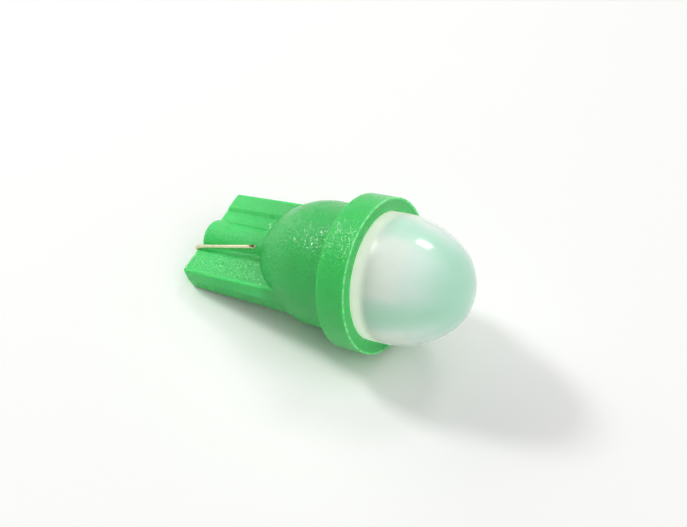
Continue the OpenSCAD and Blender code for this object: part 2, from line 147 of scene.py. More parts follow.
def band(rings: list[list[int]]) -> list[Face]:
    """Faces that join each ring of points to the next, which has as many.

    Args:
        rings: the numbers of the points of each ring. A ring on the axis repeats one number.

    Returns:
        The faces, apart from those with no area.
    """
    faces: list[Face] = []
    for low, high in zip(rings, rings[1:]):
        for k in range(len(low)):
            n = (k + 1) % len(low)
            face = tuple(dict.fromkeys((low[k], low[n], high[n], high[k])))
            if len(face) > 2:
                faces.append(face)
    return faces


@dataclass
class Shell:
    """Vertices in millimetres on the lamp's axis, and the faces between them."""

    points: list[Place]
    faces: list[Face]

    @classmethod
    def turned(cls, profile: list[Point], sides: int, centre: Point = (0.0, 0.0)) -> "Shell":
        """Turns a profile round a line along X.

        Args:
            profile: (radius, X) points. Its ends may lie on the axis, and otherwise it is closed.
            sides: how many faces go round.
            centre: (Y, Z) of the line it turns round.

        Returns:
            The closed shell.
        """
        points: list[Place] = []
        rings: list[list[int]] = []
        for radius, x in profile:
            if radius < ON_AXIS:
                rings.append([len(points)] * sides)
                points.append((x, centre[0], centre[1]))
                continue
            rings.append(list(range(len(points), len(points) + sides)))
            for k in range(sides):
                a = 2 * math.pi * k / sides
                points.append((x, centre[0] + radius * math.cos(a), centre[1] + radius * math.sin(a)))
        if profile[0][0] > ON_AXIS or profile[-1][0] > ON_AXIS:
            rings.append(rings[0])
        return cls(points, band(rings))

    @classmethod
    def lofted(cls, sections: list[list[Place]]) -> "Shell":
        """Joins rings of points and closes both ends.

        Args:
            sections: the rings, each with the same number of points.

        Returns:
            The closed shell.
        """
        count = len(sections[0])
        points = [point for section in sections for point in section]
        rings = [list(range(start, start + count)) for start in range(0, len(points), count)]
        return cls(points, band(rings) + [tuple(reversed(rings[0])), tuple(rings[-1])])

    def thing(self, name: str) -> Thing:
        """Makes an object of the shell, with its faces turned outward.

        Args:
            name: the object's name.

        Returns:
            The object, not yet placed on the lamp.
        """
        mesh = bpy.data.meshes.new(name)
        mesh.from_pydata([tuple(c * MM for c in p) for p in self.points], [], self.faces)
        mesh.validate()
        mesh.update()
        mesh.calc_loop_triangles()
        spots = np.array([v.co for v in mesh.vertices])
        corners = spots[np.array([t.vertices for t in mesh.loop_triangles])]
        if np.einsum("ij,ij->i", corners[:, 0], np.cross(corners[:, 1], corners[:, 2])).sum() < 0:
            mesh.flip_normals()
        return linked(name, mesh)


def linked(name: str, data: bpy.types.ID) -> Thing:
    """Makes an object and links it to the scene.

    Args:
        name: the object's name.
        data: its mesh, light or camera.

    Returns:
        The object.
    """
    thing = bpy.data.objects.new(name, data)
    bpy.context.scene.collection.objects.link(thing)
    return thing


class Cut(Enum):
    """How one solid acts on another."""

    JOIN = "UNION"
    REMOVE = "DIFFERENCE"


def combine(base: Thing, tool: Thing, cut: Cut) -> None:
    """Joins a tool to a base or removes it from it, and deletes the tool.

    Args:
        base: the object that is changed.
        tool: the object that is used up.
        cut: whether the tool is joined or removed.
    """
    step = base.modifiers.new("cut", "BOOLEAN")
    step.operation = cut.value
    step.solver = "EXACT"
    step.object = tool
    settle(base)
    bpy.data.objects.remove(tool)


def settle(thing: Thing) -> None:
    """Applies an object's modifiers to its mesh.

    Args:
        thing: the object.
    """
    view = bpy.context.evaluated_depsgraph_get()
    mesh = bpy.data.meshes.new_from_object(thing.evaluated_get(view))
    old = thing.data
    thing.modifiers.clear()
    thing.data = mesh
    mesh.name = thing.name
    bpy.data.meshes.remove(old)


def weld(thing: Thing, reach: float) -> None:
    """Joins the points of a mesh that lie close together.

    Args:
        thing: the object.
        reach: the greatest distance that is closed, in metres.
    """
    work = bmesh.new()
    work.from_mesh(thing.data)
    bmesh.ops.remove_doubles(work, verts=work.verts, dist=reach)
    bmesh.ops.dissolve_degenerate(work, edges=work.edges, dist=reach)
    work.to_mesh(thing.data)
    work.free()


def smooth(thing: Thing, crease: float) -> None:
    """Shades a mesh smoothly between creases, with flat faces kept flat.

    Args:
        thing: the object.
        crease: the least angle of an edge that stays sharp, in radians.
    """
    mesh = thing.data
    mesh.polygons.foreach_set("use_smooth", [True] * len(mesh.polygons))
    mesh.set_sharp_from_angle(angle=crease)
    step = thing.modifiers.new("weights", "WEIGHTED_NORMAL")
    step.keep_sharp = True
    step.weight = FACE_WEIGHT
    settle(thing)


# ---- Place of the lamp ----


@dataclass(frozen=True)
class LampAxes:
    """The lamp's own axes as it lies in the frame."""

    origin: Vector
    along: Vector
    square: Vector

    @classmethod
    def from_record(cls, collar_t: float) -> "LampAxes":
        """Reads the axes from the two mounts that lie behind the collar.

        Args:
            collar_t: thickness of the collar, in millimetres.

        Returns:
            The axes, with the origin at the front of the collar.
        """
        mounts = {mount["name"]: mount for mount in frame["record"]["mounts"]}
        on_axis = Vector(mounts["barrel"]["pos_m"])
        along = -Vector(mounts["barrel"]["axis"]).normalized()
        seat = Vector(mounts["collar_seat"]["pos_m"])
        reach = (seat - on_axis).dot(along)
        behind = on_axis + along * reach
        return cls(behind + along * collar_t * MM, along, (seat - behind).normalized())

    def seat(self, thing: Thing) -> None:
        """Places an object on the lamp.

        Args:
            thing: the object, drawn on the lamp's own axis.
        """
        across = self.square.cross(self.along)
        turn = Matrix((self.along, across, self.square)).transposed().to_4x4()
        thing.matrix_world = Matrix.Translation(self.origin) @ turn
        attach(thing, BODY)
        log.info("%s: %d faces", thing.name, len(thing.data.polygons))


# ---- Shader nodes ----


class Net:
    """Adds nodes to one tree and joins them."""

    def __init__(self, tree: bpy.types.NodeTree) -> None:
        """Keeps the tree and empties it."""
        self.tree = tree
        tree.nodes.clear()

    def add(self, kind: str, links: dict[str | int, Value] | None = None, **settings: object) -> Node:
        """Adds one node.

        Args:
            kind: the node's type without its ShaderNode prefix.
            links: for each input, by name or number, a socket to join or a value to set.
            settings: the node's own settings.

        Returns:
            The node.
        """
        node = self.tree.nodes.new("ShaderNode" + kind)
        for name, value in settings.items():
            setattr(node, name, value)
        self.fill(node, links or {})
        return node

    def fill(self, node: Node, links: dict[str | int, Value]) -> None:
        """Joins or sets several inputs of a node, each by its name or number."""
        for name, value in links.items():
            self.feed(node.inputs[name], value)

    def feed(self, socket: Socket, value: Value) -> None:
        """Joins a socket to another, or sets its value.

        Args:
            socket: the input that is fed.
            value: the socket that it is joined to, or its value.
        """
        if isinstance(value, Socket):
            self.tree.links.new(value, socket)
        elif socket.type == "RGBA":
            socket.default_value = (*value, 1.0)
        else:
            socket.default_value = value

    def place(self, size: float, stretch: Place = (1.0, 1.0, 1.0)) -> Socket:
        """Coordinates on the piece, where one unit is a given number of millimetres.

        Args:
            size: the number of millimetres.
            stretch: how much longer the pattern is along each axis.

        Returns:
            The socket that gives the coordinates.
        """
        coordinates = self.add("TexCoord").outputs["Object"]
        scale = tuple(1 / (size * MM * s) for s in stretch)
        return self.add("Mapping", {"Vector": coordinates, "Scale": scale}).outputs["Vector"]

    def lamp_place(self, turn: float) -> list[Socket]:
        """Coordinates in millimetres on a piece that is drawn on the lamp's own axes.

        Args:
            turn: the angle that the second and third axes are turned about the first.

        Returns:
            The sockets of the three coordinates.
        """
        links = {"Vector": self.place(1.0), "Angle": -turn}
        turned = self.add("VectorRotate", links, rotation_type="X_AXIS").outputs["Vector"]
        return list(self.add("SeparateXYZ", {"Vector": turned}).outputs)

    def radius(self, across: Socket, up: Socket) -> Socket:
        """Distance from the lamp's axis, from the second and third coordinates."""
        squares = [self.maths("MULTIPLY", side, side) for side in (across, up)]
        return self.maths("SQRT", self.maths("ADD", *squares))

    def spread(self, value: Socket, low: float, high: float, to_low: Value = 0.0, to_high: Value = 1.0) -> Socket:
        """Maps a value from low..high to to_low..to_high, kept within them."""
        links = {"Value": value, "From Min": low, "From Max": high, "To Min": to_low, "To Max": to_high}
        return self.add("MapRange", links).outputs["Result"]

    def ease(self, value: Socket, low: float, high: float) -> Socket:
        """Goes softly from 0 at low to 1 at high; low may be the greater."""
        links = {"Value": value, "From Min": low, "From Max": high}
        return self.add("MapRange", links, interpolation_type="SMOOTHSTEP").outputs["Result"]

    def blend(self, factor: Socket, first: Value, second: Value) -> Socket:
        """Mixes two colours; the numbers are those of the node's colour sockets."""
        return self.add("Mix", {0: factor, 6: first, 7: second}, data_type="RGBA").outputs[2]

    def noise(self, place: Socket, rate: Value, detail: float, output: str = "Fac") -> Socket:
        """Soft noise, with a rate of swells in each unit of its place."""
        return self.add("TexNoise", {"Vector": place, "Scale": rate, "Detail": detail}).outputs[output]

    def maths(self, operation: str, first: Value, second: Value = 0.0) -> Socket:
        """One step of arithmetic."""
        return self.add("Math", {0: first, 1: second}, operation=operation).outputs[0]

    def vectors(self, operation: str, first: Value, second: Value) -> Socket:
        """One step of arithmetic on vectors that gives a vector."""
        return self.add("VectorMath", {0: first, 1: second}, operation=operation).outputs[0]


class Kind(Enum):
    """Kinds of group socket."""

    NUMBER = "NodeSocketFloat"
    COLOUR = "NodeSocketColor"


class Effect:
    """A shared effect: a node group with named inputs and outputs, built once."""

    name = "effect"
    takes: dict[str, Kind] = {}
    gives: dict[str, Kind] = {}

    def group(self) -> bpy.types.NodeTree:
        """Builds the group the first time.

        Returns:
            The group.
        """
        if self.name in bpy.data.node_groups:
            return bpy.data.node_groups[self.name]
        tree = bpy.data.node_groups.new(self.name, "ShaderNodeTree")
        net = Net(tree)
        for way, sockets in (("INPUT", self.takes), ("OUTPUT", self.gives)):
            for label, kind in sockets.items():
                tree.interface.new_socket(name=label, in_out=way, socket_type=kind.value)
        source = tree.nodes.new("NodeGroupInput").outputs
        target = tree.nodes.new("NodeGroupOutput").inputs
        for label, socket in self.wire(net, source).items():
            tree.links.new(socket, target[label])
        return tree

    def wire(self, net: Net, source: Outputs) -> dict[str, Socket]:
        """Builds the inside of the group.

        Args:
            net: the group's own tree.
            source: the group's inputs, by name.

        Returns:
            The socket that feeds each output.
        """
        raise NotImplementedError

    def use(self, net: Net, **values: Value) -> Outputs:
        """Places the group in a material; in the names of its inputs, _ stands for a space."""
        links = {label.replace("_", " "): value for label, value in values.items()}
        return net.add("Group", links, node_tree=self.group()).outputs


class ToneDrift(Effect):
    """Colour that drifts softly between two tones over the piece."""

    name = "tone_drift"
    takes = {"Tone": Kind.COLOUR, "Other tone": Kind.COLOUR, "Patch": Kind.NUMBER, "Amount": Kind.NUMBER}
    gives = {"Color": Kind.COLOUR, "Mask": Kind.NUMBER}

    REACH = (0.32, 0.68)

    def wire(self, net: Net, source: Outputs) -> dict[str, Socket]:
        """See Effect.wire."""
        rate = net.maths("DIVIDE", 1.0, source["Patch"])
        noise = net.add("TexNoise", {"Vector": net.place(1.0), "Scale": rate, "Detail": 4.0, "Roughness": 0.6})
        mask = net.maths("MULTIPLY", net.spread(noise.outputs["Fac"], *self.REACH), source["Amount"])
        return {"Color": net.blend(mask, source["Tone"], source["Other tone"]), "Mask": mask}


class SparkSkin(Effect):
    """The fine winding grain that a spark eroded mould leaves on plastic.

    It is made of cells that are each tilted their own way, so that some of them glint, on swells
    that are SWELL_RATE times as many. Wear makes larger patches rougher.
    """

    name = "spark_skin"
    takes = {"Pit": Kind.NUMBER, "Roughness": Kind.NUMBER, "Worn roughness": Kind.NUMBER}
    gives = {"Height": Kind.NUMBER, "Roughness": Kind.NUMBER}

    MIDDLE = (0.5, 0.5, 0.5)
    SWELL = 0.4
    SWELL_RATE = 0.3
    WEAR_RATE = 0.35
    WORN = (0.4, 0.6)

    def wire(self, net: Net, source: Outputs) -> dict[str, Socket]:
        """See Effect.wire."""
        rate = net.maths("DIVIDE", 1.0, source["Pit"])
        place = net.place(1.0)
        wind = net.noise(place, rate, 1.0, "Color")
        push = net.vectors("SUBTRACT", wind, self.MIDDLE)
        push = net.add("VectorMath", {0: push, "Scale": source["Pit"]}, operation="SCALE").outputs[0]
        wound = net.vectors("ADD", place, push)
        cells = net.add("TexVoronoi", {"Vector": wound, "Scale": rate}).outputs
        tilt = net.vectors("SUBTRACT", cells["Color"], self.MIDDLE)
        inside = net.vectors("SUBTRACT", wound, cells["Position"])
        slope = net.add("VectorMath", {0: tilt, 1: inside}, operation="DOT_PRODUCT").outputs["Value"]
        swell = net.noise(place, net.maths("MULTIPLY", rate, self.SWELL_RATE), 2.0)
        height = net.maths("ADD", net.maths("MULTIPLY", slope, rate), net.maths("MULTIPLY", swell, self.SWELL))
        worn = net.noise(place, self.WEAR_RATE, 3.0)
        rough = net.spread(worn, *self.WORN, source["Roughness"], source["Worn roughness"])
        return {"Height": height, "Roughness": rough}


class DrawnLines(Effect):
    """Fine lines along a piece, as drawing or rolling leaves them on metal."""

    name = "drawn_lines"
    takes = {"Line": Kind.NUMBER}
    gives = {"Height": Kind.NUMBER, "Mask": Kind.NUMBER}

    STRETCH = (14.0, 1.0, 1.0)
    REACH = (0.4, 0.65)

    def wire(self, net: Net, source: Outputs) -> dict[str, Socket]:
        """See Effect.wire."""
        rate = net.maths("DIVIDE", 1.0, source["Line"])
        lines = net.noise(net.place(1.0, self.STRETCH), rate, 5.0)
        return {"Height": lines, "Mask": net.spread(lines, *self.REACH)}


class Dust(Effect):
    """A few small specks."""

    name = "dust"
    takes = {"Spacing": Kind.NUMBER, "Share": Kind.NUMBER}
    gives = {"Mask": Kind.NUMBER}

    EDGE = (0.05, 0.09)

    def wire(self, net: Net, source: Outputs) -> dict[str, Socket]:
        """See Effect.wire."""
        rate = net.maths("DIVIDE", 1.0, source["Spacing"])
        cells = net.add("TexVoronoi", {"Vector": net.place(1.0), "Scale": rate})
        pick = net.add("SeparateColor", {"Color": cells.outputs["Color"]}).outputs[1]
        chosen = net.maths("LESS_THAN", pick, source["Share"])
        near = net.spread(cells.outputs["Distance"], *self.EDGE, 1.0, 0.0)
        return {"Mask": net.maths("MULTIPLY", chosen, near)}


TONE_DRIFT = ToneDrift()
SPARK_SKIN = SparkSkin()
DRAWN_LINES = DrawnLines()
DUST = Dust()


# ---- Finishes ----


@dataclass(frozen=True)
class Finish:
    """A finish that pieces share."""

    name: str

    def material(self) -> bpy.types.Material:
        """Builds the material the first time.

        Returns:
            The material.
        """
        label = "finish_" + self.name
        if label in bpy.data.materials:
            return bpy.data.materials[label]
        material = bpy.data.materials.new(label)
        material.use_nodes = True
        net = Net(material.node_tree)
        shader = net.add("BsdfPrincipled")
        self.wire(net, shader)
        net.add("OutputMaterial", {"Surface": shader.outputs["BSDF"]})
        return material

    def wire(self, net: Net, shader: Node) -> None:
        """Sets the shader's sockets and feeds those that change over the surface.

        Args:
            net: the material's tree.
            shader: the Principled shader.
        """
        raise NotImplementedError

    def dress(self, thing: Thing) -> None:
        """Gives an object this finish alone."""
        thing.data.materials.clear()
        thing.data.materials.append(self.material())


def bump(net: Net, shader: Node, height: Socket, depth: float) -> None:
    """Feeds a height to a shader's normal.

    Args:
        net: the material's tree.
        shader: the Principled shader.
        height: the socket that gives the height, from 0 to about 1.
        depth: the height's full depth, in millimetres.
    """
    node = net.add("Bump", {"Height": height, "Distance": depth * MM})
    net.feed(shader.inputs["Normal"], node.outputs["Normal"])


@dataclass(frozen=True)
class SparkedPlastic(Finish):
    """Translucent moulded plastic with a spark eroded skin, with painted light and shade.

    Painted light makes it paler toward the wedge's end, standing in for light through the thin plastic,
    and on the top halves of the wedge's narrow sides, and lighter on the collar and the front face of its
    ring than on the barrel, whose tone is painted darker. A painted highlight lines the collar's outer
    edges, where the front one has a flash. The zones are in millimetres: along the lamp, or out from its
    axis or its middle plane.
    """

    colour: Colour
    pale: Colour
    tip: Colour
    # Tones of the painted light on the collar and on the front face of its ring.
    collar: Colour
    ring_face_painted_light: Colour
    pit: float
    depth: float
    roughness: float
    glow: float
    gloss: float

    TIP = (-9.0, -17.5)
    SIDE_OUT = (4.45, 4.6)
    SIDE_START = (-8.5, -10.0)
    PARTING = (-0.04, 0.08)
    COLLAR = (-3.2, -2.4)
    RIM = (-0.16, 0.0)
    FRONT_EDGE = (-0.09, -0.03)
    FRONT_OUT = (6.34, 6.42)
    REAR_EDGE = (-2.47, -2.52)
    REAR_OUT = (6.3, 6.42)
    # Painted highlight: the bright tone of the wavering line along the collar's outer edges.
    FLASH_HIGHLIGHT_TONE = (0.24, 0.95, 0.34)
    FLASH_HIGHLIGHT_SIZE = 0.35
    FLASH_HIGHLIGHT_SHARE = (0.35, 0.6, 0.3, 1.0)
    WEAR = 0.04
    WANDER = 0.7
    WANDER_TONE = (0.25, 1.0, 0.4)

    def wire(self, net: Net, shader: Node) -> None:
        """See Finish.wire."""
        along, across, up = net.lamp_place(0.0)
        radius = net.radius(across, up)
        out = net.ease(net.maths("ABSOLUTE", across), *self.SIDE_OUT)
        side = net.maths("MULTIPLY", out, net.ease(along, *self.SIDE_START))
        # Painted light: the top halves of the wedge's narrow sides, which face up, take the paler tip tone.
        upper_side_painted_light = net.maths("MULTIPLY", side, net.ease(up, *self.PARTING))
        # Painted light: the wedge grows paler toward its end, standing in for light through the thin plastic.
        colour = net.blend(net.ease(along, *self.TIP), self.colour, self.tip)
        colour = net.blend(upper_side_painted_light, colour, self.tip)
        # Painted light: the collar is lighter than the barrel, whose tone is painted darker.
        colour = net.blend(net.ease(along, *self.COLLAR), colour, self.collar)
        # Painted light: the front face of the collar ring has a paler tone of its own.
        colour = net.blend(net.ease(along, *self.RIM), colour, self.ring_face_painted_light)
        # Painted highlight: a wavering bright line along the collar's front and rear outer edges; the front one sits
        # on a real flash ridge.
        front = net.maths("MULTIPLY", net.ease(along, *self.FRONT_EDGE), net.ease(radius, *self.FRONT_OUT))
        rear = net.maths("MULTIPLY", net.ease(along, *self.REAR_EDGE), net.ease(radius, *self.REAR_OUT))
        waver = net.spread(net.noise(net.place(self.FLASH_HIGHLIGHT_SIZE), 1.0, 2.0), *self.FLASH_HIGHLIGHT_SHARE)
        flash = net.maths("MULTIPLY", net.maths("MAXIMUM", front, rear), waver)
        drift = TONE_DRIFT.use(net, Tone=colour, Other_tone=self.pale, Patch=2.2, Amount=0.35)
        skin = SPARK_SKIN.use(net, Pit=self.pit, Roughness=self.roughness, Worn_roughness=self.roughness + self.WEAR)
        net.fill(shader, {
            "Base Color": net.blend(flash, drift["Color"], self.FLASH_HIGHLIGHT_TONE),
            "Roughness": skin["Roughness"],
            "Subsurface Weight": self.glow,
            "Subsurface Radius": self.WANDER_TONE,
            "Subsurface Scale": self.WANDER * MM,
            "Specular IOR Level": self.gloss,
        })
        bump(net, shader, skin["Height"], self.depth)


@dataclass(frozen=True)
class MilkyPlastic(Finish):
    """Milky plastic that light wanders through, glossy outside.

    It has a painted cream glow where it is nearest to the four sides of the LED, standing in for the LED
    seen through the wall, and painted shade makes it darker between them and toward its top. Its foot is
    painted whitest and given a painted glow, standing in for light that the wall carries down to it. The zones
    are in millimetres on the lamp's own axes, apart from BETWEEN, which is a share of the radius.
    """

    colour: Colour
    # Tone of the painted glow where the LED would show through the wall.
    led_glow_painted: Colour
    # Tone of the painted shade between the four sides of the LED.
    between: Colour
    # Painted light: the whitest tone, at the foot.
    foot: Colour
    # Tone of the painted shade toward the top of the dome, also the tone that the cloud drifts to at random.
    crown_shade_and_cloud_tone: Colour
    roughness: float
    wander: float
    # Strength of the painted glow at the foot.
    foot_glow_painted: float

    LED_TURN = math.radians(118)
    BETWEEN = (0.3, 0.72)
    BESIDE = (2.9, 1.9)
    LED_TOP = (4.4, 3.3)
    CROWN = (4.4, 7.6)
    FOOT = (1.35, 0.35)
    COATED = (1.9, 3.3)
    INDEX = 1.58
    CLOUD = 0.15
    SPECK = (0.4, 0.4, 0.35)
    WEAR = 0.06
    COAT_ROUGHNESS = 0.09
    WANDER_TONE = (0.85, 1.0, 0.95)
    RIPPLE_SIZE = 1.6
    RIPPLE_DEPTH = 0.01

    def wire(self, net: Net, shader: Node) -> None:
        """See Finish.wire."""
        along, across, up = net.lamp_place(self.LED_TURN)
        nearest = net.maths("MINIMUM", net.maths("ABSOLUTE", across), net.maths("ABSOLUTE", up))
        turned = net.maths("DIVIDE", nearest, net.radius(across, up))
        # Painted shade: darker between the four sides of the LED.
        colour = net.blend(net.ease(turned, *self.BETWEEN), self.colour, self.between)
        # Painted light: a cream glow on each side of the LED, where it would show through the wall.
        led_glow_mask = net.maths("MULTIPLY", net.ease(nearest, *self.BESIDE), net.ease(along, *self.LED_TOP))
        colour = net.blend(led_glow_mask, colour, self.led_glow_painted)
        # Painted shade: darker toward the top of the dome.
        colour = net.blend(net.ease(along, *self.CROWN), colour, self.crown_shade_and_cloud_tone)
        # Painted light: the foot is whitest, and glows.
        foot = net.ease(along, *self.FOOT)
        colour = net.blend(foot, colour, self.foot)
        cloud = TONE_DRIFT.use(net, Tone=colour, Other_tone=self.crown_shade_and_cloud_tone, Patch=3.0, Amount=self.CLOUD)
        specks = DUST.use(net, Spacing=0.9, Share=0.01)
        net.fill(shader, {
            "Base Color": net.blend(specks["Mask"], cloud["Color"], self.SPECK),
            "Roughness": net.spread(cloud["Mask"], 0.0, self.CLOUD, self.roughness, self.roughness + self.WEAR),
            "IOR": self.INDEX,
            "Subsurface Weight": 1.0,
            "Subsurface Radius": self.WANDER_TONE,
            "Subsurface Scale": self.wander * MM,
            "Coat Weight": net.ease(along, *self.COATED),
            "Coat Roughness": self.COAT_ROUGHNESS,
            "Coat IOR": self.INDEX,
            # Painted glow at the foot, though it is no lamp.
            "Emission Color": net.blend(foot, (0.0, 0.0, 0.0), self.foot),
            "Emission Strength": self.foot_glow_painted,
        })
        bump(net, shader, net.noise(net.place(self.RIPPLE_SIZE), 1.0, 2.0), self.RIPPLE_DEPTH)


@dataclass(frozen=True)
class Metal(Finish):
    """Plated, drawn or melted metal."""

    colour: Colour
    tarnish: Colour
    tarnish_share: float
    roughness: Point
    line: float
    depth: float

    def wire(self, net: Net, shader: Node) -> None:
        """See Finish.wire."""
        drift = TONE_DRIFT.use(net, Tone=self.colour, Other_tone=self.tarnish, Patch=0.7, Amount=self.tarnish_share)
        lines = DRAWN_LINES.use(net, Line=self.line)
        net.fill(shader, {
            "Base Color": self.tone(net, drift["Color"]),
            "Metallic": 1.0,
            "Roughness": net.spread(lines["Mask"], 0.0, 1.0, *self.roughness),
        })
        bump(net, shader, lines["Height"], self.depth)

    def tone(self, net: Net, colour: Socket) -> Socket:
        """Returns the metal's colour after any change along the piece."""
        return colour


@dataclass(frozen=True)
class CutMetal(Metal):
    """Plated metal that turns near black at its free end, past a height over the lamp's middle plane in millimetres.
    """

    cut: Colour
    cut_height: float

    CUT_EDGE = 0.09

    def tone(self, net: Net, colour: Socket) -> Socket:
        """See Metal.tone."""
        height = net.maths("ABSOLUTE", net.lamp_place(0.0)[2])
        return net.blend(net.ease(height, self.cut_height - self.CUT_EDGE, self.cut_height), colour, self.cut)


@dataclass(frozen=True)
class Grained(Finish):
    """Plastic, ceramic or lacquer with a soft grain."""

    colour: Colour
    other: Colour
    grain: float
    depth: float
    roughness: Point
    gloss_coat: float = 0.0
    glow: float = 0.0

    WANDER = 0.3
    WANDER_TONE = (1.0, 1.0, 0.9)

    def wire(self, net: Net, shader: Node) -> None:
        """See Finish.wire."""
        drift = TONE_DRIFT.use(net, Tone=self.colour, Other_tone=self.other, Patch=self.grain * 6, Amount=0.5)
        skin = SPARK_SKIN.use(net, Pit=self.grain, Roughness=self.roughness[0], Worn_roughness=self.roughness[1])
        net.fill(shader, {
            "Base Color": drift["Color"],
            "Roughness": skin["Roughness"],
            "Coat Weight": self.gloss_coat,
            "Subsurface Weight": self.glow,
            "Subsurface Radius": self.WANDER_TONE,
            "Subsurface Scale": self.WANDER * MM,
        })
        bump(net, shader, skin["Height"], self.depth)


@dataclass(frozen=True)
class ClearGel(Finish):
    """Clear silicone over the dies."""

    colour: Colour

    CLEAREST = (1.0, 1.0, 1.0)
    CLOUD = 0.4
    ROUGHNESS = (0.04, 0.1)
    INDEX = 1.41
    DEPTH = 0.01

    def wire(self, net: Net, shader: Node) -> None:
        """See Finish.wire."""
        drift = TONE_DRIFT.use(net, Tone=self.colour, Other_tone=self.CLEAREST, Patch=1.0, Amount=self.CLOUD)
        net.fill(shader, {
            "Base Color": drift["Color"],
            "Roughness": net.spread(drift["Mask"], 0.0, self.CLOUD, *self.ROUGHNESS),
            "Transmission Weight": 1.0,
            "IOR": self.INDEX,
        })
        bump(net, shader, drift["Mask"], self.DEPTH)


# Painted light and shade: the tip, collar and ring face tones are lighter than the barrel tone, which is painted
# darker; the pale tone drifts at random.
GREEN_MOULDING = SparkedPlastic(
    "green_moulding", colour=(0.008, 0.53, 0.08), pale=(0.02, 0.61, 0.12), tip=(0.014, 0.74, 0.13),
    collar=(0.010, 0.63, 0.09), ring_face_painted_light=(0.03, 0.60, 0.12), pit=0.10, depth=0.056, roughness=0.14, glow=0.9, gloss=0.55,
)
# Apart from its own colour and its specks, the dome's tones are painted light and shade, and its foot has a painted
# glow.
MILKY_DOME = MilkyPlastic(
    "milky_dome", colour=(0.72, 0.925, 0.80), led_glow_painted=(0.76, 0.955, 0.77), between=(0.46, 0.79, 0.59),
    foot=(0.95, 0.98, 0.87), crown_shade_and_cloud_tone=(0.42, 0.76, 0.58), roughness=0.3, wander=6.0, foot_glow_painted=0.36,
)
TINNED_WIRE = CutMetal(
    "tinned_wire", colour=(0.71, 0.70, 0.47), tarnish=(0.50, 0.47, 0.28), tarnish_share=0.5, roughness=(0.25, 0.42),
    line=0.05, depth=0.004, cut=(0.07, 0.035, 0.02), cut_height=2.5,
)
SILVER_PLATE = Metal("silver_plate", (0.86, 0.85, 0.80), (0.74, 0.70, 0.60), 0.4, (0.18, 0.32), 0.05, 0.002)
COPPER = Metal("copper", (0.85, 0.48, 0.30), (0.60, 0.33, 0.20), 0.5, (0.25, 0.4), 0.06, 0.002)
GOLD = Metal("gold", (0.95, 0.72, 0.32), (0.85, 0.60, 0.25), 0.3, (0.15, 0.22), 0.02, 0.0005)
SOLDER = Metal("solder", (0.72, 0.73, 0.74), (0.55, 0.55, 0.54), 0.5, (0.2, 0.38), 0.3, 0.008)
WHITE_MOULDING = Grained("white_moulding", (0.90, 0.89, 0.84), (0.84, 0.82, 0.75), 0.05, 0.004, (0.45, 0.35), 0.0, 0.3)
BOARD_LACQUER = Grained("board_lacquer", (0.84, 0.83, 0.76), (0.77, 0.75, 0.66), 0.08, 0.004, (0.4, 0.3), 0.3)
ALUMINA = Grained("alumina", (0.88, 0.87, 0.83), (0.80, 0.79, 0.75), 0.03, 0.003, (0.6, 0.45))
BLACK_GLAZE = Grained("black_glaze", (0.012, 0.013, 0.015), (0.03, 0.03, 0.035), 0.04, 0.002, (0.25, 0.12), 0.5)
DIE_CRYSTAL = Grained("die_crystal", (0.16, 0.36, 0.28), (0.25, 0.46, 0.40), 0.02, 0.001, (0.18, 0.1), 0.6)
GEL = ClearGel("clear_gel", (0.95, 0.98, 0.94))


# ---- Housing ----


@dataclass(frozen=True)
class HousingSizes:
    """Sizes of the moulded housing, in millimetres."""

    bore_r: float = 5.45
    collar_r: float = 6.55
    collar_t: float = 2.55
    barrel_r: float = 5.4
    barrel_len: float = 5.55
    shoulder_r: float = 6.7
    ledge_depth: float = 1.6
    hollow_r: float = 4.5
    hollow_taper: Point = (3.6, 1.3)
    wedge_reach: float = 18.2
    wedge_w: float = 9.5
    wedge_t: float = 2.25
    wedge_rise: float = 0.38
    wedge_spread: float = 0.12
    wedge_bury: float = 0.5
    side_draft: float = 0.1
    tip_bevel: float = 0.3
    boss_r: float = 1.8
    valley_out: float = 3.1
    valley_depth: float = 0.24
    valley_flank: float = 0.35
    groove_flank: float = 0.12
    groove_gap: float = 0.04
    wire_gap: float = 0.05

    @property
    def root_x(self) -> float:
        """Where the wedge ends inside the barrel."""
        return -self.barrel_len - self.wedge_bury

    @property
    def start_x(self) -> float:
        """Where the rounded end of the wedge passes into its faces."""
        return self.tip_bevel - self.wedge_reach

    @property
    def hollow_end_x(self) -> float:
        """The rear end of the hollow."""
        return -self.barrel_len - self.hollow_taper[0]


@dataclass(frozen=True)
class WireSizes:
    """Sizes of a lead wire and the clearances along it, in millimetres."""

    radius: float = 0.18
    hole_y: float = 3.65
    start_x: float = -0.28
    jog_x: float = -3.17
    jog_to: float = 1.6
    boss_gap: float = 0.27
    floor_gap: float = 0.03
    inner_bend: float = 0.8
    tip_bend: float = 0.32
    tail_short: float = 0.7
    tail_lift: float = 1.3
    tail_drift: float = 0.4
    pinch: float = 0.22

    def tail_z(self, housing: HousingSizes) -> float:
        """Height of the wire over the middle plane at the tip."""
        return housing.wedge_t / 2 - housing.valley_depth + self.radius + self.floor_gap

    def bore_y(self, housing: HousingSizes) -> float:
        """Distance from the middle of the wedge to the wire's bore."""
        return math.sqrt((housing.boss_r + self.boss_gap + self.radius) ** 2 - self.tail_z(housing) ** 2)


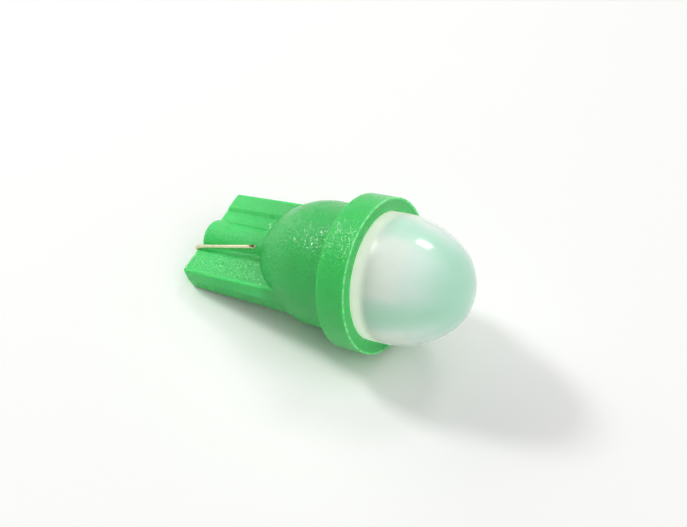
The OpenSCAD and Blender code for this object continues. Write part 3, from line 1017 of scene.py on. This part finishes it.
class Housing:
    """The green moulding: collar, barrel and wedge in one piece.

    Its lengths are in millimetres, apart from WELD, which is in metres. CORNER and VALLEY_SHRINK say
    how much the wedge's sides and valleys shrink toward its rounded end, where its faces shrink by 1.
    PAST is how far the tools that cut it reach past what they cut.
    """

    SIDES = 160
    CREASE = math.radians(32)
    FLASH = 0.07
    FLASH_FOOT_R = 0.03
    FLASH_R = 0.02
    EDGE_R = 0.12
    FOOT_R = 0.22
    SHOULDER_STEPS = 40
    MOUTH = 0.08
    PAST = 1.0
    BORE_SIDES = 32
    PARTING_R = 0.04
    WING_R = 0.14
    VALLEY_R = 0.16
    GROOVE_R = 0.05
    BOSS_FOOT_R = 0.1
    BOSS_STEPS = 22
    CORNER = 1.9
    VALLEY_SHRINK = 0.25
    WELD = 6e-6
    TIP_STEPS = 6
    WEDGE_STEPS = 24

    def __init__(self, sizes: HousingSizes, wires: WireSizes) -> None:
        """Keeps the sizes of the housing and of the wires that it holds."""
        self.sizes = sizes
        self.wires = wires

    def outer_profile(self) -> list[Point]:
        """Outlines the collar, the barrel and its rounded end.

        Returns:
            The outline as (radius, X).
        """
        s = self.sizes
        ridge = self.FLASH  # The flash is two ridges wide and 0.8 of a ridge high, near its outer edge.
        ring = rounded([
            Corner(0.0, 0.0), Corner(s.collar_r - 2 * ridge, 0.0, self.FLASH_FOOT_R),
            Corner(s.collar_r - 0.6 * ridge, 0.8 * ridge, self.FLASH_R),
            Corner(s.collar_r, 0.5 * ridge, self.FLASH_R), Corner(s.collar_r, -s.collar_t, self.EDGE_R),
            Corner(s.barrel_r, -s.collar_t, self.FOOT_R), Corner(s.barrel_r, -s.barrel_len),
        ])
        centre = (s.barrel_r - s.shoulder_r, -s.barrel_len)
        end = math.acos((s.shoulder_r - s.barrel_r) / s.shoulder_r)
        curve = arc(centre, s.shoulder_r, 0.0, -end, self.SHOULDER_STEPS)
        return ring[:-1] + curve[:-1] + [(0.0, curve[-1][1])]

    def hollow_profile(self) -> list[Point]:
        """Outlines the bore for the board and the lens, and the hollow behind it.

        Returns:
            The outline as (radius, X).
        """
        s = self.sizes
        past = self.PAST
        return [
            (0.0, past), (s.bore_r + self.MOUTH + past, past), (s.bore_r, -self.MOUTH),
            (s.bore_r, -s.ledge_depth), (s.hollow_r, -s.ledge_depth), (s.hollow_r, -s.barrel_len),
            (s.hollow_r - s.hollow_taper[1], s.hollow_end_x), (0.0, s.hollow_end_x),
        ]

    def section(self, x: float, inset: float) -> list[Place]:
        """One cross-section of the wedge.

        Args:
            x: where it lies along the lamp.
            inset: how far it is shrunk, for the rounded end.

        Returns:
            Its points, the same number for each section.
        """
        s = self.sizes
        share = max(0.0, (x - s.start_x) / (s.root_x - s.start_x))
        face = s.wedge_t / 2 + share * s.wedge_rise
        top = face - inset
        floor = face - s.valley_depth - inset * self.VALLEY_SHRINK
        out = s.wedge_w / 2 + s.side_draft + share * s.wedge_spread - inset * self.CORNER
        edge = out - s.side_draft * face / (s.wedge_t / 2)
        groove_out = self.wires.bore_y(s) + self.wires.radius + s.groove_gap + s.groove_flank
        boss_r = s.boss_r - inset
        rest = math.asin(floor / boss_r)
        boss = arc((0.0, 0.0), boss_r, rest, math.pi - rest, self.BOSS_STEPS)
        half = [
            Corner(out, 0.0, self.PARTING_R), Corner(edge, top, self.WING_R),
            Corner(s.valley_out, top, self.VALLEY_R), Corner(s.valley_out - s.valley_flank, floor, self.VALLEY_R),
            Corner(*boss[0], self.BOSS_FOOT_R), *(Corner(*p) for p in boss[1:-1]),
            Corner(*boss[-1], self.BOSS_FOOT_R), Corner(s.groove_flank - groove_out, floor, self.GROOVE_R),
            Corner(-groove_out, top, self.GROOVE_R), Corner(-edge, top, self.WING_R),
        ]
        other = [Corner(-c.x, -c.y, c.radius) for c in half]
        return [(x, y, z) for y, z in rounded(half + other, True)]

    def wedge(self) -> Shell:
        """Lofts the flat wedge with its boss and valleys.

        Returns:
            The closed shell.
        """
        s = self.sizes
        sections = []
        for step in range(self.TIP_STEPS + 1):
            turn = math.pi / 2 * step / self.TIP_STEPS
            x = s.tip_bevel * (1 - math.cos(turn)) - s.wedge_reach
            sections.append(self.section(x, s.tip_bevel * (1 - math.sin(turn))))
        for step in range(1, self.WEDGE_STEPS + 1):
            x = s.start_x + (s.root_x - s.start_x) * step / self.WEDGE_STEPS
            sections.append(self.section(x, 0.0))
        return Shell.lofted(sections)

    def build(self) -> Thing:
        """Builds the housing's mesh.

        Returns:
            The object, drawn on the lamp's own axis.
        """
        s = self.sizes
        thing = Shell.turned(self.outer_profile(), self.SIDES).thing("housing_moulding")
        combine(thing, self.wedge().thing("wedge"), Cut.JOIN)
        hollow = Shell.turned(self.hollow_profile(), self.SIDES).thing("hollow")
        combine(thing, hollow, Cut.REMOVE)
        bore_r = self.wires.radius + s.wire_gap
        low, high = -s.wedge_reach - self.PAST, s.hollow_end_x + self.PAST
        drill = [(0.0, low), (bore_r, low), (bore_r, high), (0.0, high)]
        for side in (-1, 1):
            tool = Shell.turned(drill, self.BORE_SIDES, (side * self.wires.bore_y(s), 0.0))
            combine(thing, tool.thing("wire_bore"), Cut.REMOVE)
        weld(thing, self.WELD)
        smooth(thing, self.CREASE)
        return thing

    def add(self, axes: LampAxes) -> None:
        """Builds, dresses and seats the housing in place of its plain solid.

        Args:
            axes: the lamp's own axes.
        """
        thing = self.build()
        GREEN_MOULDING.dress(thing)
        axes.seat(thing)
        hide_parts("housing")


# ---- Lens ----


@dataclass(frozen=True)
class LensSizes:
    """Sizes of the dome lens, in millimetres."""

    radius: float = 5.38
    wall: float = 1.0
    foot_x: float = -0.8
    straight: float = 1.0
    reach: float = 7.7
    fullness: float = 1.67


class DomeLens:
    """The thick milky dome that is pressed into the collar.

    It is solid above ROOF_X, so that light can wander through it.
    """

    SIDES = 160
    ARC_STEPS = 28
    CREASE = math.radians(50)
    FOOT_R = 0.12
    ROOF_X = 1.15

    def __init__(self, sizes: LensSizes) -> None:
        """Keeps the sizes and works out the two arcs of the dome.

        Args:
            sizes: the sizes of the lens.
        """
        self.sizes = sizes
        s = sizes
        nose = s.reach - s.straight
        self.side_r = s.radius * (nose / s.radius) ** s.fullness
        drop = self.side_r - s.radius
        self.top_r = (nose**2 + drop**2 - self.side_r**2) / (2 * (nose - self.side_r))
        self.turn = math.atan2(abs(drop), abs(nose - self.top_r))

    def curve(self) -> list[Point]:
        """Outlines the dome from its straight part to its top.

        Returns:
            The outline as (radius, X).
        """
        s = self.sizes
        meet = math.pi / 2 - self.turn
        side = arc((s.radius - self.side_r, s.straight), self.side_r, 0.0, meet, self.ARC_STEPS)
        top = arc((0.0, s.reach - self.top_r), self.top_r, meet, math.pi / 2, self.ARC_STEPS)
        return side + top[1:-1] + [(0.0, s.reach)]

    def build(self) -> Thing:
        """Builds the dome's mesh.

        Returns:
            The object, drawn on the lamp's own axis.
        """
        s = self.sizes
        foot = rounded([
            Corner(s.radius - s.wall, s.straight), Corner(s.radius - s.wall, s.foot_x, self.FOOT_R),
            Corner(s.radius, s.foot_x, self.FOOT_R), Corner(s.radius, s.straight),
        ])
        roof = [(0.0, self.ROOF_X), (s.radius - s.wall, self.ROOF_X)]
        thing = Shell.turned(roof + foot[1:-1] + self.curve(), self.SIDES).thing("dome_moulding")
        smooth(thing, self.CREASE)
        return thing

    def add(self, axes: LampAxes) -> None:
        """Builds, dresses and seats the dome in place of its plain solid.

        Args:
            axes: the lamp's own axes.
        """
        thing = self.build()
        MILKY_DOME.dress(thing)
        axes.seat(thing)
        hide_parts("dome_lens")


# ---- Lead wires ----


class LeadWire:
    """A tinned wire from the board, through the wedge and back along its broad face."""

    SIDES = 20
    BEND_STEPS = 10
    PINCH_STEPS = 4
    PINCH_OUT = 0.02
    PINCH_IN = 0.045
    CREASE = math.radians(40)

    def __init__(self, sizes: WireSizes, housing: HousingSizes, node: str, half_turn: bool) -> None:
        """Keeps what the wire is drawn from.

        Args:
            sizes: the sizes of the wire.
            housing: the sizes of the housing round it.
            node: the node that it stands for.
            half_turn: whether it lies on the lower broad face.
        """
        self.sizes = sizes
        self.housing = housing
        self.node = node
        self.half_turn = half_turn

    def line(self) -> list[Vector]:
        """Lays the middle of the wire.

        Returns:
            Its points from the board to the free end.
        """
        s, housing = self.sizes, self.housing
        bore_y, tail_z = s.bore_y(housing), s.tail_z(housing)
        bore_x = -housing.barrel_len - s.jog_to
        loop_x = -housing.wedge_reach - housing.wire_gap - s.radius
        end_y, end_z = s.tail_drift - bore_y, tail_z + s.tail_lift
        reach = math.hypot(end_y, end_z) + housing.shoulder_r - housing.barrel_r
        end_x = -housing.barrel_len - math.sqrt(housing.shoulder_r**2 - reach**2) - s.tail_short
        corners = [
            Vector((s.start_x, -s.hole_y, 0.0)), Vector((s.jog_x, -s.hole_y, 0.0)),
            Vector((bore_x, -bore_y, 0.0)), Vector((loop_x, -bore_y, 0.0)),
            Vector((loop_x, -bore_y, tail_z)), Vector((end_x, end_y, end_z)),
        ]
        line = corners[:1]
        for i, radius in enumerate((s.inner_bend, s.inner_bend, s.tip_bend, s.tip_bend)):
            line += bend(*corners[i:i + 3], radius, self.BEND_STEPS)
        line += corners[-1:]
        back = (line[-2] - line[-1]).normalized()
        steps = self.PINCH_STEPS
        tail = [line[-1] + back * s.pinch * step / steps for step in range(steps, 0, -1)]
        return line[:-1] + tail + line[-1:]

    def widths(self, count: int) -> list[Point]:
        """Half widths along the wire, with the cutter's pinch at its free end.

        Args:
            count: how many points the wire has.

        Returns:
            The two half widths at each point.
        """
        r = self.sizes.radius
        steps = range(self.PINCH_STEPS + 1)
        pinched = [(r * (1 + self.PINCH_OUT * k), r * (1 - self.PINCH_IN * k * k)) for k in steps]
        return [(r, r)] * (count - len(pinched)) + pinched

    def shell(self) -> Shell:
        """Sweeps the wire along its middle without twisting it.

        Returns:
            The closed shell.
        """
        line = self.line()
        widths = self.widths(len(line))
        side = Vector((0.0, 1.0, 0.0))
        sections: list[list[Place]] = []
        for i, point in enumerate(line):
            back = (point - line[i - 1]).normalized() if i else (line[1] - point).normalized()
            ahead = (line[i + 1] - point).normalized() if i < len(line) - 1 else back
            along = (back + ahead).normalized()
            side = (side - side.dot(along) * along).normalized()
            first, second = side * widths[i][0], along.cross(side) * widths[i][1]
            angles = [2 * math.pi * k / self.SIDES for k in range(self.SIDES)]
            sections.append([tuple(point + (first * math.cos(a) + second * math.sin(a))) for a in angles])
        return Shell.lofted(sections)

    def add(self, axes: LampAxes) -> None:
        """Builds, dresses and seats the wire in place of its plain solid.

        Args:
            axes: the lamp's own axes.
        """
        shell = self.shell()
        if self.half_turn:
            shell.points = [(x, -y, -z) for x, y, z in shell.points]
        thing = shell.thing(self.node + "_drawn")
        smooth(thing, self.CREASE)
        TINNED_WIRE.dress(thing)
        axes.seat(thing)
        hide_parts(self.node)


# ---- Board and LED ----


class Electronics:
    """The board, the LED and the resistor, which keep their own solids."""

    FINISHES = {
        "board": BOARD_LACQUER, "copper": COPPER, "led_package": WHITE_MOULDING,
        "lead_frame": SILVER_PLATE, "die": DIE_CRYSTAL, "gold": GOLD, "silicone": GEL,
        "solder": SOLDER, "alumina": ALUMINA, "resistor_film": BLACK_GLAZE,
    }

    def dress(self) -> None:
        """Gives each of the kept solids the finish of its material slot."""
        for part in frame["record"]["subparts"]:
            finish = self.FINISHES.get(part["material_slot"])
            if finish:
                finish.dress(frame["nodes"][part["node"]])
                log.info("%s: %s", part["node"], finish.name)


# ---- Studio ----


@dataclass(frozen=True)
class View:
    """The camera: places in millimetres, roll in degrees, focal length on a 36 mm wide sensor."""

    place: Place = (29.66, -53.254, 64.172)
    target: Place = (1.09, 0.13, 6.084)
    roll: float = 4.33
    focal: float = 52.4


@dataclass(frozen=True)
class Softbox:
    """A rectangular lamp: direction as azimuth and elevation in degrees, lengths in millimetres.

    Its level is the brightness that it gives a white surface which faces it, and mirrored says
    whether glossy surfaces show it.
    """

    name: str
    azimuth: float
    elevation: float
    distance: float
    size: Point
    level: float
    mirrored: bool


class Studio:
    """The floor, the light and the camera."""

    FLOOR = 0.6
    FLOOR_TONE = (0.96, 0.96, 0.945)
    FLOOR_WHITE = (1.0, 0.99, 0.98)
    FLOOR_SHARE = 0.06
    SKY_TONE = (1.0, 0.99, 0.97)
    SKY_LEVEL = 0.09
    SENSOR = 36.0
    AIM = Vector((0.0, 0.0, 6.0))
    LAMPS = (
        Softbox("window_light", 86.0, 57.0, 300.0, (76.0, 76.0), 0.13, True),
        Softbox("left_window_light", 181.0, 41.0, 400.0, (74.0, 62.0), 0.40, True),
        Softbox("left_light", 160.0, 37.0, 400.0, (460.0, 260.0), 0.34, False),
        Softbox("top_light", 320.0, 73.0, 400.0, (460.0, 460.0), 0.30, False),
        Softbox("right_light", 352.0, 44.0, 400.0, (420.0, 340.0), 0.40, False),
    )

    def shown(self, net: Net) -> Socket:
        """Tells the rays that show the background, straight or in a reflection.

        Args:
            net: the tree that asks.

        Returns:
            The socket that gives 1 for them and 0 for others.
        """
        path = net.add("LightPath").outputs
        seen = net.maths("MAXIMUM", path["Is Camera Ray"], path["Is Glossy Ray"])
        return net.maths("MAXIMUM", seen, path["Is Transmission Ray"])

    def floor(self) -> None:
        """Lays the plain pale floor, which keeps the lamp's shadow."""
        half = self.FLOOR / 2
        mesh = bpy.data.meshes.new("floor")
        corners = [(-half, -half, 0.0), (half, -half, 0.0), (half, half, 0.0), (-half, half, 0.0)]
        mesh.from_pydata(corners, [], [(0, 1, 2, 3)])
        thing = linked("floor", mesh)
        material = bpy.data.materials.new("floor")
        material.use_nodes = True
        net = Net(material.node_tree)
        matte = net.add("BsdfDiffuse", {"Color": self.FLOOR_TONE})
        white = net.add("Emission", {"Color": self.FLOOR_WHITE, "Strength": 1.0})
        share = net.maths("MULTIPLY", self.shown(net), self.FLOOR_SHARE)
        mixed = net.add("MixShader", {0: share, 1: matte.outputs[0], 2: white.outputs[0]})
        net.add("OutputMaterial", {"Surface": mixed.outputs[0]})
        mesh.materials.append(material)

    def lamp(self, box: Softbox) -> None:
        """Hangs one softbox, turned toward the lamp on the floor.

        Args:
            box: where it hangs, its size and its level.
        """
        a, e = math.radians(box.azimuth), math.radians(box.elevation)
        toward = Vector((math.cos(e) * math.cos(a), math.cos(e) * math.sin(a), math.sin(e)))
        light = bpy.data.lights.new(box.name, "AREA")
        light.shape = "RECTANGLE"
        light.size, light.size_y = box.size[0] * MM, box.size[1] * MM
        light.energy = box.level * math.pi**2 * (box.distance * MM) ** 2
        thing = linked(box.name, light)
        thing.location = (self.AIM + toward * box.distance) * MM
        thing.rotation_euler = (-toward).to_track_quat("-Z", "Y").to_euler()
        thing.visible_glossy = box.mirrored

    def world(self) -> None:
        """Sets an even sky that looks white and lights less than it looks."""
        world = bpy.data.worlds.new("sky")
        world.use_nodes = True
        net = Net(world.node_tree)
        dim = net.add("Background", {"Color": self.SKY_TONE, "Strength": self.SKY_LEVEL})
        white = net.add("Background", {"Color": (1.0, 1.0, 1.0), "Strength": 1.0})
        mixed = net.add("MixShader", {0: self.shown(net), 1: dim.outputs[0], 2: white.outputs[0]})
        net.add("OutputWorld", {"Surface": mixed.outputs[0]})
        bpy.context.scene.world = world

    def camera(self, view: View) -> None:
        """Sets the camera.

        Args:
            view: where it stands and what it looks at.
        """
        data = bpy.data.cameras.new("camera")
        data.sensor_width = self.SENSOR
        data.lens = view.focal
        data.clip_start = MM
        thing = linked("camera", data)
        place, target = Vector(view.place) * MM, Vector(view.target) * MM
        turn = (target - place).to_track_quat("-Z", "Y").to_matrix().to_4x4()
        spin = Matrix.Rotation(math.radians(view.roll), 4, "Z")
        thing.matrix_world = Matrix.Translation(place) @ turn @ spin
        bpy.context.scene.camera = thing

    def add(self) -> None:
        """Sets the whole studio."""
        self.camera(View())
        self.floor()
        self.world()
        for box in self.LAMPS:
            self.lamp(box)
        bpy.context.scene.view_settings.view_transform = "Standard"
        log.info("studio: %d lamps", len(self.LAMPS))


def main() -> None:
    """Builds the studio and the lamp."""
    logging.basicConfig(level=logging.INFO, format="%(name)s: %(message)s")
    Studio().add()
    housing, wires = HousingSizes(), WireSizes()
    axes = LampAxes.from_record(housing.collar_t)
    Housing(housing, wires).add(axes)
    DomeLens(LensSizes()).add(axes)
    LeadWire(wires, housing, "lead_wire_a", False).add(axes)
    LeadWire(wires, housing, "lead_wire_b", True).add(axes)
    Electronics().dress()


if __name__ == "__main__":
    main()
